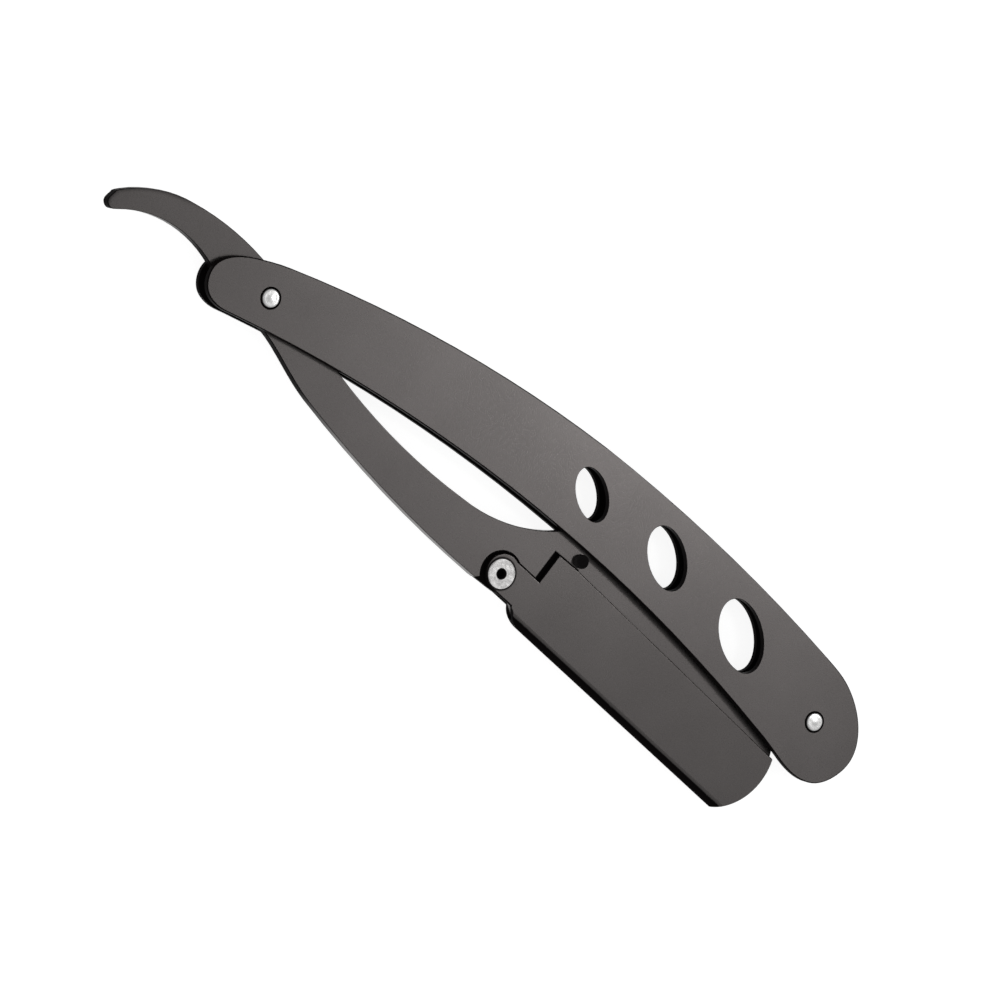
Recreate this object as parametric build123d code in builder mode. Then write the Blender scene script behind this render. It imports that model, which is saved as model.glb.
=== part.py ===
"""Folding barber's razor that takes half of a double-edge blade.

It lies on its rear scale. The origin is the pivot pin's axis on the rear
scale's outer face, +X runs along the handle to the end pin, +Y towards the
handle's back and +Z out of the front scale. The arm is shown folded shut.
"""
import os
from math import cos, radians, sin, sqrt

from build123d import *

os.makedirs("parts", exist_ok=True)

# thickness stack, from the rear face upwards
scale_thickness = 1.0
handle_gap = 2.2
handle_thickness = 2 * scale_thickness + handle_gap
mid_height = handle_thickness / 2
front_inner = handle_thickness - scale_thickness
arm_thickness = 1.7
tray_thickness = 0.7
channel_height = 1.94
leaf_thickness = 0.45
blade_thickness = 0.1

arm_rear = mid_height - arm_thickness / 2
arm_front = mid_height + arm_thickness / 2
tray_rear = mid_height - tray_thickness / 2 + 0.03
channel_rear = mid_height - channel_height / 2
channel_front = mid_height + channel_height / 2

# handle
pin_spacing = 116.0
pin_radius = 1.0
pin_head_radius = 1.45
sink_radius = 1.72
dome_height = 0.22
scale_edge_round = 0.18
running_gap = 0.05
washer_radius = 2.6
spacer_radius = 2.6

# three slanted windows in each scale, growing towards the far end: place, half length, half width
front_windows = [
    (62.2, 6.6, 4.35, 2.65),
    (78.9, 6.0, 5.2, 3.2),
    (97.0, 3.6, 6.0, 3.7),
]
rear_windows = [
    (62.25, 6.65, 4.35, 2.65),
    (79.25, 6.15, 5.2, 3.2),
    (97.55, 3.8, 6.0, 3.7),
]
window_slant = -36.0

# clamp frame: its origin is the rivet, and its x runs along the clamp's straight spine
rivet_x = 57.1
rivet_y = -11.4
spine_slope = -4.73

# clamp channel, in the clamp frame
spine_y = -4.47
fold_depth = 1.4
lobe_x = 0.15
lobe_y = 0.35
lobe_radius = 2.95
heel_x = 5.95
heel_low_y = 3.1
heel_high_y = 8.3
long_edge_heel = 8.5
long_edge_tip = 7.65
tip_y = 3.9
leaf_edge_round = 0.2

# arm, in the clamp frame
seam = 0.05
shoulder_x = 5.05
step_x = 10.2
relief_radius = 3.5
tray_top = 12.0
tray_top_tip = 52.7
tray_bottom = -3.6
tray_bottom_tip = 53.2
tray_tip_x = 56.75
arm_edge_round = 0.12

# clamp rivet
barrel_radius = 1.3
rivet_head_radius = 2.28
rivet_bore_radius = 0.8
rivet_rim = 0.2
leaf_to_head = 0.03

# stop stud
stop_stud_place = (9.4, 9.8)
stud_radius = 1.08
stud_inset = 0.35
stud_shank_radius = 0.7

# half of a double-edge blade, and the two studs that locate it
blade_length = 42.8
blade_edge_length = 37.6
blade_width = 11.0
blade_start = 10.3
cutting_edge_y = 13.0
bevel_width = 0.7
tab_width = 8.4
blade_stud_radius = 1.0
blade_stud_y = 3.4
blade_stud_x = (17.2, 46.2)
blade_stud_proud = 0.04

clamp_frame = Plane(
    origin=(rivet_x, rivet_y, 0),
    x_dir=(cos(radians(spine_slope)), sin(radians(spine_slope)), 0),
    z_dir=(0, 0, 1),
)
clamp_section = Plane(
    origin=clamp_frame.from_local_coords(Vector(-6, 0, mid_height)),
    x_dir=clamp_frame.y_dir,
    z_dir=clamp_frame.x_dir,
)


def in_clamp(x, y):
    """A point of the clamp's frame, given in the handle's frame."""
    return clamp_frame.from_local_coords(Vector(x, y, 0))


def scale_outline(far_corner, windows):
    """A scale's outline and windows; far_corner holds the points round its lower far corner."""
    with BuildSketch() as outline:
        with BuildLine():
            belly = ThreePointArc((-3.0, -5.3), (50.0, -0.25), (108.0, -6.44))
            Spline(
                (108.0, -6.44),
                *far_corner,
                (124.3, -4.9),
                (125.25, -1.4),
                (122.4, 4.6),
                (117.7, 7.8),
                (112.0, 9.25),
                tangents=[belly % 1, (-1, 0.17)],
            )
            ThreePointArc((112.0, 9.25), (87.0, 12.5), (60.0, 13.72))
            back_near = ThreePointArc((60.0, 13.72), (28.0, 11.2), (0.0, 5.4))
            Spline(
                (0.0, 5.4),
                (-4.2, 3.95),
                (-8.1, 1.95),
                (-10.3, -0.9),
                (-10.2, -3.1),
                (-8.7, -5.15),
                (-6.0, -5.8),
                (-3.0, -5.3),
                tangents=[back_near % 1, belly % 0],
            )
        make_face()
        for x, y, half_length, half_width in windows:
            with Locations(Location((x, y, 0), (0, 0, window_slant))):
                Ellipse(half_length, half_width, mode=Mode.SUBTRACT)
    return outline.sketch


with BuildPart() as front_scale:
    with BuildSketch(Plane.XY.offset(front_inner)):
        add(scale_outline([(111.0, -7.1), (114.6, -8.08), (118.1, -8.6), (121.9, -7.65)], front_windows))
    extrude(amount=scale_thickness)
    fillet(front_scale.faces().sort_by(Axis.Z)[-1].outer_wire().edges(), scale_edge_round)
    chamfer(front_scale.faces().sort_by(Axis.Z)[-1].inner_wires().edges(), scale_edge_round / 2)
    with Locations((0, 0, handle_thickness), (pin_spacing, 0, handle_thickness)):
        CounterSinkHole(pin_radius, sink_radius, counter_sink_angle=90)

# The rear scale's lower far corner is set back, and its windows sit a little further out.
with BuildPart() as rear_scale:
    with BuildSketch():
        add(scale_outline([(115.3, -7.05), (119.6, -7.65), (122.5, -6.8)], rear_windows))
    extrude(amount=scale_thickness)
    fillet(rear_scale.faces().sort_by(Axis.Z)[0].outer_wire().edges(), scale_edge_round)
    chamfer(rear_scale.faces().sort_by(Axis.Z)[0].inner_wires().edges(), scale_edge_round / 2)
    rear_seats = [Plane((x, 0, 0), z_dir=(0, 0, -1)) for x in (0, pin_spacing)]
    with Locations(*rear_seats):
        CounterSinkHole(pin_radius, sink_radius, counter_sink_angle=90)


# Both pins are peened: a cone fills each countersink, domed in front, flush behind.
flare = pin_head_radius - pin_radius
sink_depth = sink_radius - pin_radius
with BuildSketch(Plane.XZ) as pin_profile:
    with BuildLine():
        Polyline(
            (0, 0.02),
            (pin_head_radius, 0.02),
            (pin_head_radius, sink_depth - flare),
            (pin_radius, sink_depth),
            (pin_radius, handle_thickness - sink_depth),
            (pin_head_radius, handle_thickness - sink_depth + flare),
            (pin_head_radius, handle_thickness),
        )
        Spline(
            (pin_head_radius, handle_thickness),
            (0.8, handle_thickness + 0.75 * dome_height),
            (0, handle_thickness + dome_height),
            tangents=[(-0.5, 1), (-1, 0)],
        )
        Line((0, handle_thickness + dome_height), (0, 0.02))
    make_face()

with BuildPart() as pivot_pin:
    add(pin_profile.sketch)
    revolve(axis=Axis.Z)

with BuildPart() as end_pin:
    with Locations((pin_spacing, 0, 0)):
        add(pivot_pin.part)

# Thrust washers sit on the scales' inner faces and the bush spaces the far end.
washer_thickness = front_inner - arm_front - running_gap
with BuildPart() as pivot_washer_front:
    with BuildSketch(Plane.XY.offset(front_inner)):
        Circle(washer_radius)
        Circle(pin_radius, mode=Mode.SUBTRACT)
    extrude(amount=-washer_thickness)

with BuildPart() as pivot_washer_rear:
    with BuildSketch(Plane.XY.offset(scale_thickness)):
        Circle(washer_radius)
        Circle(pin_radius, mode=Mode.SUBTRACT)
    extrude(amount=washer_thickness)

with BuildPart() as end_spacer:
    with BuildSketch(Plane.XY.offset(scale_thickness)):
        with Locations((pin_spacing, 0)):
            Circle(spacer_radius)
            Circle(pin_radius, mode=Mode.SUBTRACT)
    extrude(amount=handle_gap)


# Arm: a curled tail, the tang on the pin, the bowed shank and a thin blade tray.
with BuildSketch() as arm_outline:
    with BuildLine():
        tail_back = ThreePointArc((-28.5, -0.35), (-24.0, 2.7), (-18.0, 4.45))
        tang_back = ThreePointArc((-18.0, 4.45), (-11.0, 4.9), (-4.0, 4.2))
        shank_back = ThreePointArc((13.0, -1.35), (30.0, -5.0), (45.0, -5.8))
        Spline((-4.0, 4.2), (1.6, 3.0), (7.0, 0.85), (13.0, -1.35), tangents=[tang_back % 1, shank_back % 0])
        ThreePointArc((45.0, -5.8), (55.6, -3.9), (62.6, 0.1))
        Line((62.6, 0.1), in_clamp(tray_top_tip, tray_top))
        ThreePointArc(
            in_clamp(tray_top_tip, tray_top),
            in_clamp(tray_tip_x, tip_y),
            in_clamp(tray_bottom_tip, tray_bottom),
        )
        Line(in_clamp(tray_bottom_tip, tray_bottom), in_clamp(7.5, tray_bottom))
        Spline(
            in_clamp(7.5, tray_bottom),
            in_clamp(5.8, -3.35),
            in_clamp(4.4, -2.45),
            in_clamp(1.5, -2.65),
            in_clamp(-1.9, -2.97),
            (53.0, -14.2),
        )
        belly_of_shank = ThreePointArc((53.0, -14.2), (35.0, -12.45), (15.0, -8.6))
        tail_belly = ThreePointArc((-11.5, -0.9), (-19.0, -0.1), (-27.6, -3.35))
        Spline(
            (15.0, -8.6),
            (8.0, -6.15),
            (3.0, -4.4),
            (-2.5, -3.6),
            (-7.0, -2.7),
            (-11.5, -0.9),
            tangents=[belly_of_shank % 1, tail_belly % 0],
        )
        Spline(
            (-27.6, -3.35),
            (-28.7, -3.75),
            (-29.6, -3.0),
            (-29.4, -1.6),
            (-28.5, -0.35),
            tangents=[tail_belly % 1, tail_back % 0],
        )
    make_face()

# The head is milled thinner on both sides, up to a shoulder that follows the clamp's heel.
with BuildSketch(clamp_frame) as head_relief:
    Circle(relief_radius)
    with BuildLine():
        Polyline(
            (0, 0),
            (-2.5, -2.5),
            (-4.5, -4.5),
            (0, -8),
            (60, -8),
            (60, 16),
            (step_x, 16),
            (step_x, long_edge_heel + seam),
            (shoulder_x, heel_high_y + seam),
            (shoulder_x, heel_low_y + seam),
            (0, heel_low_y + seam),
            close=True,
        )
    make_face()

with BuildPart() as arm:
    with BuildSketch(Plane.XY.offset(arm_rear)):
        add(arm_outline.sketch)
        add(head_relief.sketch, mode=Mode.SUBTRACT)
    extrude(amount=arm_thickness)
    fillet(arm.faces().filter_by(Axis.Z).edges(), arm_edge_round)
    with BuildSketch(Plane.XY.offset(tray_rear)):
        add(arm_outline.sketch)
    extrude(amount=tray_thickness)
    with BuildSketch():
        Circle(pin_radius + running_gap)
        with Locations((rivet_x, rivet_y)):
            Circle(barrel_radius)
        with Locations(in_clamp(*stop_stud_place)):
            Circle(stud_shank_radius)
        with Locations(*[in_clamp(x, blade_stud_y) for x in blade_stud_x]):
            Circle(blade_stud_radius)
    extrude(amount=handle_thickness, mode=Mode.SUBTRACT)

# The stop stud is riveted through the arm and stands out past the scales' edges on both sides.
with BuildPart() as stop_stud:
    for head_plane in (Plane.XY.offset(stud_inset), Plane.XY.offset(arm_front)):
        with BuildSketch(head_plane):
            with Locations(in_clamp(*stop_stud_place)):
                Circle(stud_radius)
        extrude(amount=arm_rear - stud_inset)
    chamfer(stop_stud.faces().sort_by(Axis.Z)[-1].edges(), 0.15)
    chamfer(stop_stud.faces().sort_by(Axis.Z)[0].edges(), 0.15)
    with BuildSketch(Plane.XY.offset(arm_rear)):
        with Locations(in_clamp(*stop_stud_place)):
            Circle(stud_shank_radius)
    extrude(amount=arm_thickness)


# Half blade: a ground wedge cut to the outline, with notches for the two locating studs.
blade_middle = blade_start + blade_length / 2
blade_back_y = cutting_edge_y - blade_width
blade_z = tray_rear - blade_thickness / 2
blade_slot_width = 2 * (blade_stud_radius + running_gap)
with BuildPart() as half_blade:
    with BuildSketch(clamp_section):
        with BuildLine():
            Polyline(
                (blade_back_y, tray_rear - mid_height),
                (blade_back_y, tray_rear - blade_thickness - mid_height),
                (cutting_edge_y - bevel_width, tray_rear - blade_thickness - mid_height),
                (cutting_edge_y, blade_z - mid_height),
                (cutting_edge_y - bevel_width, tray_rear - mid_height),
                close=True,
            )
        make_face()
    extrude(amount=70)
    with BuildSketch(clamp_frame):
        with Locations((blade_middle, blade_back_y + blade_width / 2)):
            Rectangle(blade_edge_length, blade_width)
        with Locations((blade_middle, blade_back_y + tab_width / 2)):
            Rectangle(blade_length, tab_width)
        with Locations(*[(x, blade_stud_y) for x in blade_stud_x]):
            Circle(blade_stud_radius + running_gap, mode=Mode.SUBTRACT)
        with Locations(*[(x, blade_back_y) for x in blade_stud_x]):
            Rectangle(blade_slot_width, 2 * (blade_stud_y - blade_back_y), mode=Mode.SUBTRACT)
    extrude(amount=handle_thickness, mode=Mode.INTERSECT)

blade_studs = []
for name, x in zip(("blade_stud_heel", "blade_stud_tip"), blade_stud_x):
    with BuildPart() as blade_stud:
        with BuildSketch(Plane.XY.offset(tray_rear - blade_thickness - blade_stud_proud)):
            with Locations(in_clamp(x, blade_stud_y)):
                Circle(blade_stud_radius)
        extrude(amount=tray_thickness + blade_thickness + blade_stud_proud)
    blade_stud.part.label = name
    blade_studs.append(blade_stud.part)


# Clamp channel: a folded strip, cut to a plan with a round lobe on the rivet.
fold_y = spine_y + fold_depth
outer_half = channel_height / 2
inner_half = outer_half - leaf_thickness
lobe_bottom = (lobe_x, lobe_y - lobe_radius)
lobe_end = (lobe_x + sqrt(lobe_radius**2 - (heel_low_y - lobe_y) ** 2), heel_low_y)
with BuildPart() as clamp_channel:
    with BuildSketch(clamp_section):
        with BuildLine():
            Polyline((fold_y, outer_half), (20, outer_half), (20, inner_half), (fold_y, inner_half))
            EllipticalCenterArc((fold_y, 0), fold_depth - leaf_thickness, inner_half, 90, arc_size=180)
            Polyline((fold_y, -inner_half), (20, -inner_half), (20, -outer_half), (fold_y, -outer_half))
            EllipticalCenterArc((fold_y, 0), fold_depth, outer_half, 90, arc_size=180)
        make_face()
    extrude(amount=70)
    with BuildSketch(clamp_frame):
        with BuildLine():
            ThreePointArc(lobe_bottom, (lobe_x - lobe_radius, lobe_y), lobe_end)
            Polyline(
                lobe_end,
                (heel_x, heel_low_y),
                (heel_x, heel_high_y),
                (step_x, long_edge_heel),
                (56.4, long_edge_tip),
            )
            ThreePointArc((56.4, long_edge_tip), (57.1, tip_y), (52.94, spine_y))
            Line((52.94, spine_y), (8.4, spine_y))
            ThreePointArc((8.4, spine_y), (6.1, -3.86), (4.75, lobe_bottom[1]))
            Line((4.75, lobe_bottom[1]), lobe_bottom)
        make_face()
    extrude(amount=handle_thickness, mode=Mode.INTERSECT)
    leaf_faces = clamp_channel.faces().filter_by(Axis.Z)
    outer_faces = leaf_faces.sort_by(Axis.Z)[0] + leaf_faces.sort_by(Axis.Z)[-1]
    leaf_edges = outer_faces.edges().filter_by(
        lambda edge: min(clamp_frame.to_local_coords(edge @ end).Y for end in (0, 1)) > fold_y + 0.1
    )
    fillet(leaf_edges, leaf_edge_round)
    with BuildSketch(clamp_frame):
        Circle(barrel_radius + running_gap)
    extrude(amount=handle_thickness, mode=Mode.SUBTRACT)

# Semi-tubular rivet: a solid head behind, a rolled rim round a blind bore in front.
with BuildPart() as clamp_rivet:
    with BuildSketch(Plane((rivet_x, rivet_y, 0), x_dir=(1, 0, 0), z_dir=(0, -1, 0))):
        with BuildLine():
            Polyline(
                (0, channel_rear - leaf_to_head - rivet_rim),
                (rivet_head_radius - 0.15, channel_rear - leaf_to_head - rivet_rim),
                (rivet_head_radius, channel_rear - leaf_to_head),
                (barrel_radius, channel_rear - leaf_to_head),
                (barrel_radius, channel_front + leaf_to_head),
                (rivet_head_radius, channel_front + leaf_to_head),
                (rivet_head_radius, channel_front + leaf_to_head + 0.12),
                (rivet_head_radius - 0.12, channel_front + leaf_to_head + rivet_rim),
                (rivet_bore_radius + 0.15, channel_front + leaf_to_head + rivet_rim),
                (rivet_bore_radius, channel_front + leaf_to_head + rivet_rim - 0.15),
                (rivet_bore_radius, channel_rear + 0.4),
                (0, channel_rear + 0.4),
                close=True,
            )
        make_face()
    revolve(axis=Axis((rivet_x, rivet_y, 0), (0, 0, 1)))


pieces = {
    "front_scale": front_scale,
    "rear_scale": rear_scale,
    "pivot_pin": pivot_pin,
    "pivot_washer_front": pivot_washer_front,
    "pivot_washer_rear": pivot_washer_rear,
    "end_pin": end_pin,
    "end_spacer": end_spacer,
    "arm": arm,
    "stop_stud": stop_stud,
    "half_blade": half_blade,
    "clamp_channel": clamp_channel,
    "clamp_rivet": clamp_rivet,
}
for name, piece in pieces.items():
    piece.part.label = name
    export_step(piece.part, f"parts/{name}.step")
for stud in blade_studs:
    export_step(stud, f"parts/{stud.label}.step")
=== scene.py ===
"""Looks of the folding razor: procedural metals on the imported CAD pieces, in a white product studio.

Everything is in metres, in the razor's own frame: it lies on its rear scale, +X runs along the
handle from the pivot pin to the end pin, and +Z comes out of the front scale.
"""
from math import cos, pi, radians, sin

import bmesh
import bpy
from mathutils import Matrix, Vector


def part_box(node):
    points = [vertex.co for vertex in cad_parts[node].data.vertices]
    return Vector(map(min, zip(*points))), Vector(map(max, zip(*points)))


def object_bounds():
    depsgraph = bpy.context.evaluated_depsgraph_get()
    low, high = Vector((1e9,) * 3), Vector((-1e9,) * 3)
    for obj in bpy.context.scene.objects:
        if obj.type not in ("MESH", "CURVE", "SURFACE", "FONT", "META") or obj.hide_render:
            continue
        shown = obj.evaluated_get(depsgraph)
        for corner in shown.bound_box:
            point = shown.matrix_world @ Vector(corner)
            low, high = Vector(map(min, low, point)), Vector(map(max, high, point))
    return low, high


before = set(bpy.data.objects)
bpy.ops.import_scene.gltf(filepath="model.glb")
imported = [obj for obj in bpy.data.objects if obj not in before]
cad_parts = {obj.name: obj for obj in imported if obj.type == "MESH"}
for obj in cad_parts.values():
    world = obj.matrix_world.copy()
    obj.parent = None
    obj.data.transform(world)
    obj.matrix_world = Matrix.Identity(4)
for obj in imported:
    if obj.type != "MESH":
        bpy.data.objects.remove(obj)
cad_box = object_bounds()

MM = 0.001

# The camera looks down on the front scale, tilted 28 degrees off its face, with a long lens.
CAMERA_AIM = Vector((49.605, -2.783, 4.2)) * MM
CAMERA_AZIMUTH = radians(201.43)
CAMERA_ELEVATION = radians(62.0)
CAMERA_ROLL = radians(103.9)
CAMERA_DISTANCE = 1.0
CAMERA_LENS = 239.5

# Linear colours of the coatings; black for painted shade on edges and inner faces and for the studs'
# oxide; painted shade in hollows and gaps; the arm's grey edges.
HANDLE_GRAPHITE = (0.136, 0.1262, 0.1237)
ARM_GRAPHITE = (0.127, 0.1178, 0.1155)
CLAMP_GRAPHITE = (0.119, 0.1104, 0.108)
# Painted shade on the sheared edges and inner faces; also the black oxide of the studs' ends.
OXIDE_AND_PAINTED_SHADE_BLACK = (0.0036, 0.0030, 0.0031)
# Painted shade inside the rivet's bore and in the gap round the pin heads' rims.
PAINTED_GAP_SHADE_BLACK = (0.012, 0.010, 0.010)
# Grey for the arm's edges where no black shade is painted.
GREY_EDGE_TONE = (0.075, 0.070, 0.068)
BARE_STEEL = (0.30, 0.29, 0.285)

# Darker and lighter tones of the bright steels.
RIVET_STEEL = (0.52, 0.51, 0.505), (0.76, 0.75, 0.745)
PIN_STEEL = (0.84, 0.835, 0.83), (1.0, 0.995, 0.99)
HIDDEN_STEEL = (0.76, 0.755, 0.75), (0.96, 0.955, 0.95)

# The sheared edges are seen nearly edge-on, where any gloss would mirror the white table.
WALL_SPECULAR = 0.003



def middle(node_name):
    """Centre of a piece's box."""
    low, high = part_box(node_name)
    return (low + high) / 2


RIVET = middle("clamp_rivet")

# The heel end of the channel's fold, round which black shade is painted on the clamp.
HEEL_CORNER = Vector((61.4, -15.9, 3.0)) * MM

# The channel's straight spine slopes against the handle.
SPINE_SLOPE = radians(-4.73)


def direction(azimuth, elevation):
    """Unit vector at an angle round +Z from +X and an angle above the table."""
    return Vector((cos(elevation) * cos(azimuth), cos(elevation) * sin(azimuth), sin(elevation)))


# ---------------------------------------------------------------- node helpers


class Shader:
    """A node material with one Principled shader, and short calls for the nodes that feed it."""

    def __init__(self, name):
        self.material = bpy.data.materials.new(name)
        self.material.use_nodes = True
        self.nodes = self.material.node_tree.nodes
        self.links = self.material.node_tree.links
        self.principled = self.nodes["Principled BSDF"]
        self.coordinates = self.nodes.new("ShaderNodeTexCoord")

    def put(self, socket, value):
        """Feeds an input from another node's output, or sets its value."""
        if isinstance(value, bpy.types.NodeSocket):
            self.links.new(value, socket)
        else:
            socket.default_value = value

    def set(self, **inputs):
        """Feeds the Principled shader's inputs, named with underscores for spaces."""
        for name, value in inputs.items():
            self.put(self.principled.inputs[name.replace("_", " ")], value)

    def noise(self, size_mm, detail=2.0, rough=0.5, stretch=(1, 1, 1), distortion=0.0):
        """Noise in the piece's own coordinates, with features about size_mm across."""
        mapping = self.nodes.new("ShaderNodeMapping")
        self.links.new(self.coordinates.outputs["Object"], mapping.inputs["Vector"])
        mapping.inputs["Scale"].default_value = stretch
        texture = self.nodes.new("ShaderNodeTexNoise")
        self.links.new(mapping.outputs["Vector"], texture.inputs["Vector"])
        texture.inputs["Scale"].default_value = 1 / (size_mm * MM)
        texture.inputs["Detail"].default_value = detail
        texture.inputs["Roughness"].default_value = rough
        texture.inputs["Distortion"].default_value = distortion
        return texture.outputs["Fac"]

    def math(self, operation, a, b=0.0, clamp=False):
        node = self.nodes.new("ShaderNodeMath")
        node.operation = operation
        node.use_clamp = clamp
        self.put(node.inputs[0], a)
        self.put(node.inputs[1], b)
        return node.outputs[0]

    def product(self, first, *others):
        """All the values multiplied, for masks that must hold together."""
        for other in others:
            first = self.math("MULTIPLY", first, other)
        return first

    def largest(self, first, *others):
        """The largest of the values, for masks of which any may hold."""
        for other in others:
            first = self.math("MAXIMUM", first, other)
        return first

    def ramp(self, value, low, high, out_low=0.0, out_high=1.0):
        """value from low..high, held at the ends and turned into out_low..out_high."""
        node = self.nodes.new("ShaderNodeMapRange")
        self.put(node.inputs["Value"], value)
        node.inputs["From Min"].default_value = low
        node.inputs["From Max"].default_value = high
        node.inputs["To Min"].default_value = out_low
        node.inputs["To Max"].default_value = out_high
        return node.outputs["Result"]

    def mix(self, factor, a, b):
        """Colour a where factor is 0 and b where it is 1."""
        node = self.nodes.new("ShaderNodeMix")
        node.data_type = "RGBA"
        self.put(node.inputs["Factor"], factor)
        self.put(node.inputs[6], a if isinstance(a, bpy.types.NodeSocket) else (*a, 1))
        self.put(node.inputs[7], b if isinstance(b, bpy.types.NodeSocket) else (*b, 1))
        return node.outputs[2]

    def facing_z(self, side=0):
        """How squarely the surface faces up (side 1), down (side -1) or either way (side 0)."""
        split = self.nodes.new("ShaderNodeSeparateXYZ")
        self.links.new(self.coordinates.outputs["Normal"], split.inputs[0])
        if side == 0:
            return self.math("ABSOLUTE", split.outputs["Z"])
        return self.math("MULTIPLY", split.outputs["Z"], side)

    def axis(self, name):
        """One of the piece's own coordinates."""
        split = self.nodes.new("ShaderNodeSeparateXYZ")
        self.links.new(self.coordinates.outputs["Object"], split.inputs[0])
        return split.outputs[name]

    def distance(self, place):
        """How far the surface is from the upright line through a place."""
        across = self.math("POWER", self.math("SUBTRACT", self.axis("X"), place.x), 2.0)
        along = self.math("POWER", self.math("SUBTRACT", self.axis("Y"), place.y), 2.0)
        return self.math("SQRT", self.math("ADD", across, along))

    def within(self, place, inner_mm, outer_mm, most=1.0):
        """most up to inner_mm from the upright line through a place, fading to 0 at outer_mm."""
        return self.ramp(self.distance(place), outer_mm * MM, inner_mm * MM, 0.0, most)

    def along(self, place, angle):
        """How far the surface is past a place, along a level line at an angle from +X."""
        from_x = self.math("MULTIPLY", self.math("SUBTRACT", self.axis("X"), place.x), cos(angle))
        from_y = self.math("MULTIPLY", self.math("SUBTRACT", self.axis("Y"), place.y), sin(angle))
        return self.math("ADD", from_x, from_y)

    def edge(self, radius_mm):
        """About 1 along edges that stand out within radius_mm, and 0 on flat faces."""
        bevel = self.nodes.new("ShaderNodeBevel")
        bevel.samples = 6
        bevel.inputs["Radius"].default_value = radius_mm * MM
        geometry = self.nodes.new("ShaderNodeNewGeometry")
        dot = self.nodes.new("ShaderNodeVectorMath")
        dot.operation = "DOT_PRODUCT"
        self.links.new(bevel.outputs["Normal"], dot.inputs[0])
        self.links.new(geometry.outputs["True Normal"], dot.inputs[1])
        return self.ramp(dot.outputs["Value"], 0.99, 0.8)

    def bump(self, height, depth_mm, strength=1.0):
        node = self.nodes.new("ShaderNodeBump")
        node.inputs["Strength"].default_value = strength
        node.inputs["Distance"].default_value = depth_mm * MM
        self.links.new(height, node.inputs["Height"])
        return node.outputs["Normal"]


# ---------------------------------------------------------------- materials


def coated_steel(name, tone, outer_side=0, roughness=0.3, wall=OXIDE_AND_PAINTED_SHADE_BLACK, shade=None):
    """Dark satin coating on flat faces, with black shade painted on the sheared edges.

    outer_side says which face keeps the coating: 1 the upper, -1 the lower, 0 both; the other face gets
    painted black shade.
    wall is the tone of the edges, and shade is painted shade that darkens the flat faces where it is
    above 0.
    """
    shader = Shader(name)
    mottle = shader.noise(9.0, detail=3)
    cloud = shader.noise(38.0, detail=1)
    grain = shader.noise(0.16, detail=2)
    patches = shader.math("MULTIPLY", shader.math("ADD", mottle, cloud), 0.5)
    darker = tuple(0.92 * channel for channel in tone)
    lighter = tuple(1.08 * channel for channel in tone)
    face = shader.mix(shader.ramp(patches, 0.3, 0.7), darker, lighter)

    worn_spots = shader.ramp(shader.noise(3.0, detail=4), 0.5, 0.8)
    rubbed = shader.product(shader.edge(0.25), worn_spots, 0.35)
    face = shader.mix(rubbed, face, BARE_STEEL)

    # The coating goes only on faces turned squarely up or down; edges, rounded folds and the inner face
    # get painted black shade.
    flat = shader.ramp(shader.facing_z(outer_side), 0.965, 0.992)
    if shade:
        flat = shader.math("MULTIPLY", flat, shader.math("SUBTRACT", 1.0, shade(shader), clamp=True))
    metallic = flat
    # With a wall mask, edges are grey where it holds and get painted black shade elsewhere.
    if callable(wall):
        bright_wall = wall(shader)
        metallic = shader.math("MAXIMUM", flat, bright_wall)
        wall = shader.mix(bright_wall, OXIDE_AND_PAINTED_SHADE_BLACK, GREY_EDGE_TONE)
    shader.set(
        Base_Color=shader.mix(flat, wall, face),
        Metallic=metallic,
        Roughness=shader.ramp(grain, 0.3, 0.7, roughness - 0.04, roughness + 0.04),
        Normal=shader.bump(grain, 0.004, 0.3),
    )
    shader.principled.inputs["Specular IOR Level"].default_value = WALL_SPECULAR
    return shader.material


def unshaded_walls(shader):
    """1 on the arm's edges more than 26 mm from the pivot, which stay grey; 0 nearer, round the rivet
    and at the tip, where black shade is painted.
    """
    far_from_pivot = shader.ramp(shader.math("ABSOLUTE", shader.axis("X")), 13 * MM, 26 * MM)
    off_rivet = shader.ramp(shader.distance(RIVET), 4.2 * MM, 4.6 * MM)
    upright = shader.ramp(shader.facing_z(), 0.995, 0.97)
    off_tip = shader.ramp(shader.axis("X"), -27.5 * MM, -25 * MM)
    return shader.product(far_from_pivot, off_rivet, upright, off_tip)


def arm_shade(shader):
    """1 where shade is painted black: in the pocket, and less so on the tail's back and tip edges."""
    return shader.largest(pocket_shade(shader), tail_shade(shader))


def pocket_shade(shader):
    """Painted shade: 1 on the low upper faces round the clamp's lobe and in the strip at the arm's
    shoulder.
    """
    near_shoulder = shader.ramp(shader.along(RIVET, SPINE_SLOPE), 6.6 * MM, 6.1 * MM)
    above_lobe = shader.ramp(shader.along(RIVET, SPINE_SLOPE + pi / 2), 1.5 * MM, 2.5 * MM)
    strip = shader.product(near_shoulder, above_lobe, shader.within(RIVET, 10.4, 10.6))
    low = shader.ramp(shader.axis("Z"), 2.7 * MM, 2.6 * MM)
    faces_up = shader.ramp(shader.facing_z(1), 0.2, 0.5)
    return shader.product(shader.largest(shader.within(RIVET, 4.6, 5.4), strip), low, faces_up)


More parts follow.
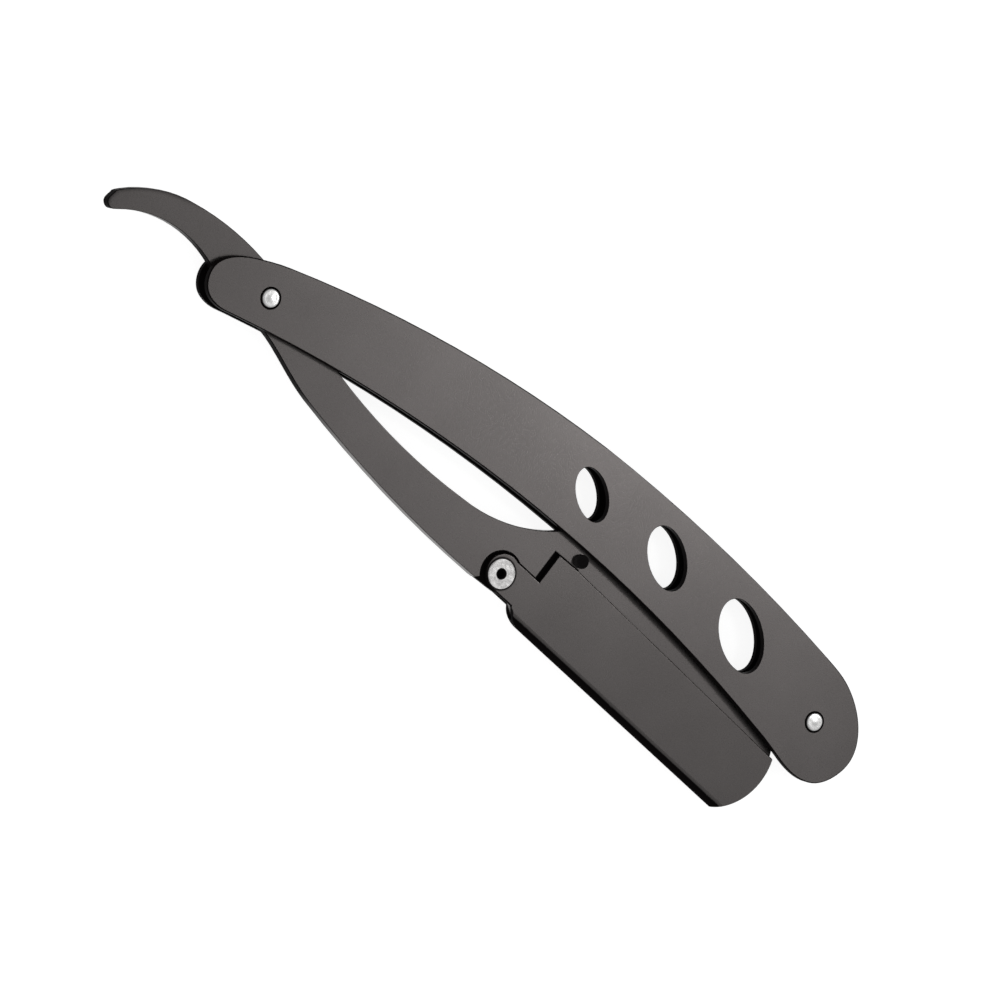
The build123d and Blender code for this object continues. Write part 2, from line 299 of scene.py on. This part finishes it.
def tail_shade(shader):
    """Painted shade, up to 0.75, where the tail's rounded back edge and tip lean away, along the back
    edge and round its tip.
    """
    rounded = shader.nodes.new("ShaderNodeBevel")
    rounded.samples = 12
    rounded.inputs["Radius"].default_value = 1.1 * MM
    local = shader.nodes.new("ShaderNodeVectorTransform")
    local.vector_type = "NORMAL"
    local.convert_from = "WORLD"
    local.convert_to = "OBJECT"
    shader.links.new(rounded.outputs["Normal"], local.inputs[0])
    split = shader.nodes.new("ShaderNodeSeparateXYZ")
    shader.links.new(local.outputs[0], split.inputs[0])
    leaning_back = shader.ramp(split.outputs["Y"], 0.02, 0.6, 0.0, 0.75)
    leaning_to_tip = shader.ramp(split.outputs["X"], -0.02, -0.6, 0.0, 0.75)
    on_tail = shader.ramp(shader.axis("X"), -16 * MM, -20 * MM)
    on_tip = shader.ramp(shader.axis("X"), -26.5 * MM, -28 * MM)
    return shader.largest(
        shader.product(leaning_back, on_tail), shader.product(leaning_to_tip, on_tip)
    )


def clamp_shade(shader):
    """Painted shade: a black ring round the rivet's head, and black at the heel end of the fold."""
    ring = shader.within(RIVET, 2.5, 2.7, most=0.9)
    return shader.largest(ring, shader.within(HEEL_CORNER, 1.3, 1.45, most=0.95))


def bright_steel(name, darker, lighter, roughness=0.3, bore=None, rim=None):
    """Polished steel with faint hammer marks.

    bore is the place of a hollow with black shade painted inside. rim is the place and radius of a head
    whose outer edge has dark shade painted on it.
    """
    shader = Shader(name)
    dents = shader.noise(0.7, detail=2)
    fine = shader.noise(0.12, detail=2)
    colour = shader.mix(shader.ramp(dents, 0.3, 0.7), darker, lighter)
    metallic = 1.0
    if bore:
        metallic = shader.ramp(shader.distance(bore), 0.84 * MM, 0.9 * MM)
        colour = shader.mix(metallic, PAINTED_GAP_SHADE_BLACK, colour)
    if rim:
        place, radius = rim
        metallic = shader.ramp(shader.distance(place), radius - 0.06 * MM, radius - 0.24 * MM)
        colour = shader.mix(metallic, PAINTED_GAP_SHADE_BLACK, colour)
    shader.set(
        Base_Color=colour,
        Metallic=metallic,
        Roughness=shader.ramp(fine, 0.3, 0.7, roughness - 0.06, roughness + 0.08),
        Normal=shader.bump(dents, 0.05, 0.5),
    )
    shader.principled.inputs["Specular IOR Level"].default_value = 0.03 if bore or rim else 0.5
    return shader.material


def blade_steel(name):
    """Rolled strip steel with grinding lines along the cutting edge."""
    shader = Shader(name)
    lines = shader.noise(0.12, detail=2, stretch=(0.03, 1, 1))
    stain = shader.noise(6.0, detail=2)
    shader.set(
        Base_Color=shader.mix(stain, (0.62, 0.63, 0.65), (0.74, 0.75, 0.76)),
        Metallic=1.0,
        Roughness=shader.ramp(lines, 0.3, 0.7, 0.22, 0.36),
        Normal=shader.bump(lines, 0.01, 0.3),
    )
    return shader.material


def black_oxide(name):
    """Matt black oxide on the small turned studs, with light painted on their walls to make them paler,
    and worn a little on the rim.
    """
    shader = Shader(name)
    worn = shader.math("MULTIPLY", shader.edge(0.15), shader.noise(0.8, detail=3))
    fine = shader.noise(0.15, detail=2)
    # Painted light: the studs' walls are paler than their black ends.
    wall_or_end = shader.mix(shader.ramp(shader.facing_z(), 0.2, 0.8), (0.014, 0.013, 0.013), OXIDE_AND_PAINTED_SHADE_BLACK)
    shader.set(
        Base_Color=shader.mix(shader.math("MULTIPLY", worn, 0.3), wall_or_end, (0.04, 0.04, 0.04)),
        Metallic=0.0,
        Roughness=shader.ramp(fine, 0.3, 0.7, 0.4, 0.6),
        Normal=shader.bump(fine, 0.01, 0.3),
    )
    shader.principled.inputs["Specular IOR Level"].default_value = 0.03
    return shader.material


materials = {
    "front_scale": coated_steel("front_scale_coating", HANDLE_GRAPHITE, outer_side=1),
    "rear_scale": coated_steel("rear_scale_coating", HANDLE_GRAPHITE, outer_side=-1),
    "arm": coated_steel("arm_coating", ARM_GRAPHITE, wall=unshaded_walls, shade=arm_shade),
    "clamp_channel": coated_steel("clamp_coating", CLAMP_GRAPHITE, shade=clamp_shade),
    "clamp_rivet": bright_steel("rivet_steel", *RIVET_STEEL, bore=RIVET),
    "half_blade": blade_steel("blade_strip_steel"),
}
steel = bright_steel("bright_pin_steel", *HIDDEN_STEEL)
oxide = black_oxide("black_stud_oxide")
for node_name in ("end_spacer", "pivot_washer_front", "pivot_washer_rear"):
    materials[node_name] = steel
for node_name in ("pivot_pin", "end_pin"):
    low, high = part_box(node_name)
    head = (middle(node_name), (high.x - low.x) / 2)
    materials[node_name] = bright_steel(f"{node_name}_steel", *PIN_STEEL, rim=head)
for node_name in ("stop_stud", "blade_stud_heel", "blade_stud_tip"):
    materials[node_name] = oxide

for node_name, material in materials.items():
    for material_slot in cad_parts[node_name].material_slots:
        material_slot.material = material

# ---------------------------------------------------------------- studio


def plain_floor():
    """A round white table, curving up into a wall far behind on every side."""
    profile = [(1.2, 0.0), (1.8, 0.0)]
    profile += [(1.8 + 0.5 * sin(t), 0.5 - 0.5 * cos(t)) for t in (radians(9 * k) for k in range(1, 11))]
    profile += [(2.3, 1.6)]
    turns = 96
    mesh = bmesh.new()
    rings = []
    for radius, height in profile:
        angles = (2 * pi * k / turns for k in range(turns))
        rings.append([mesh.verts.new((radius * cos(a), radius * sin(a), height)) for a in angles])
    mesh.faces.new(rings[0])
    for lower, upper in zip(rings, rings[1:]):
        for k in range(turns):
            n = (k + 1) % turns
            mesh.faces.new((lower[k], upper[k], upper[n], lower[n]))
    data = bpy.data.meshes.new("floor")
    mesh.to_mesh(data)
    mesh.free()
    floor = bpy.data.objects.new("floor", data)
    for polygon in data.polygons:
        polygon.use_smooth = True
    floor.location.z = cad_box[0].z - 0.02 * MM
    bpy.context.scene.collection.objects.link(floor)
    shader = Shader("white_table")
    shader.set(
        Base_Color=(0.3, 0.3, 0.3, 1),
        Roughness=0.7,
        Emission_Color=(1, 1, 1, 1),
        Emission_Strength=0.88,
    )
    data.materials.append(shader.material)
    return floor


def softbox(name, azimuth, elevation, distance, size, watts):
    """A square area light that aims at the razor."""
    data = bpy.data.lights.new(name, "AREA")
    data.size = size
    data.energy = watts
    light = bpy.data.objects.new(name, data)
    towards = direction(radians(azimuth), radians(elevation))
    light.location = CAMERA_AIM + distance * towards
    light.rotation_mode = "QUATERNION"
    light.rotation_quaternion = towards.to_track_quat("Z", "Y")
    light.visible_camera = False
    bpy.context.scene.collection.objects.link(light)
    return light


plain_floor()
softbox("key_softbox", azimuth=38, elevation=55, distance=0.55, size=0.09, watts=0.28)
softbox("fill_softbox", azimuth=200, elevation=55, distance=1.2, size=0.8, watts=0.6)

world = bpy.data.worlds.new("studio")
world.use_nodes = True
world.node_tree.nodes["Background"].inputs["Color"].default_value = (1, 1, 1, 1)
world.node_tree.nodes["Background"].inputs["Strength"].default_value = 0.37
bpy.context.scene.world = world
bpy.context.scene.view_settings.view_transform = "Standard"

camera_data = bpy.data.cameras.new("camera")
camera_data.lens = CAMERA_LENS
camera_data.sensor_width = 36
camera_data.clip_start = 0.01
camera_data.clip_end = 20
camera = bpy.data.objects.new("camera", camera_data)
back = direction(CAMERA_AZIMUTH, CAMERA_ELEVATION)
level = Vector((0, 0, 1)).cross(back).normalized()
turn = Matrix.Rotation(CAMERA_ROLL, 3, back)
right = turn @ level
up = turn @ back.cross(level)
camera.matrix_world = Matrix.Translation(CAMERA_AIM + CAMERA_DISTANCE * back) @ Matrix(
    (right, up, back)
).transposed().to_4x4()
bpy.context.scene.collection.objects.link(camera)
bpy.context.scene.camera = camera
